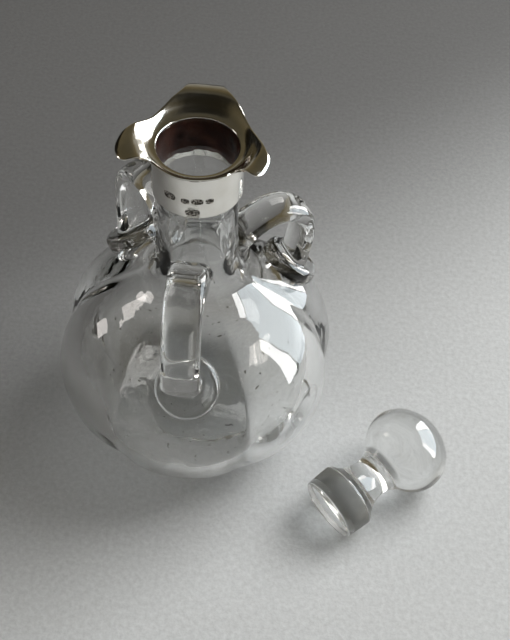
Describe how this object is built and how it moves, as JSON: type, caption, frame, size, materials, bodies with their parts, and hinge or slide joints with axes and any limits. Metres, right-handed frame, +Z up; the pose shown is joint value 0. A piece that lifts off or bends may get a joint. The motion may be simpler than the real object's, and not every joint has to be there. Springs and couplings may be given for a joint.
{
  "type": "glass decanter with stopper",
  "caption": "Clear glass globe decanter with lobed sides and applied strap handles, a silver sleeve and lipped pouring rim on the neck, and a loose glass stopper lying beside it.",
  "frame": {"origin": "middle of the base's underside, on the axis of the bottle, at table height", "axes": "+Z up out of the mouth, -Y towards the front handle, +X to the right, where the stopper lies"},
  "size_m": [0.1511, 0.1104, 0.1535],
  "materials": {
    "glass": "clear, polished, a little seed and wear",
    "silver": "polished sterling-type silver with fine wear",
    "cement": "matt reddish-brown plaster",
    "stopper_glass": "clear and polished, the plug's side ground matt"
  },
  "bodies": {
    "decanter": {"bottle": "glass", "handle_front": "glass", "handle_left": "glass", "handle_right": "glass", "collar": "silver", "pouring_rim": "silver", "cement": "cement"},
    "stopper": {"stopper": "stopper_glass"}
  },
  "joints": [
    {"name": "stopper_lift", "type": "slide", "parent": "decanter", "child": "stopper", "axis": [0, 0, 1], "range_m": [0, 0.18]}
  ]
}
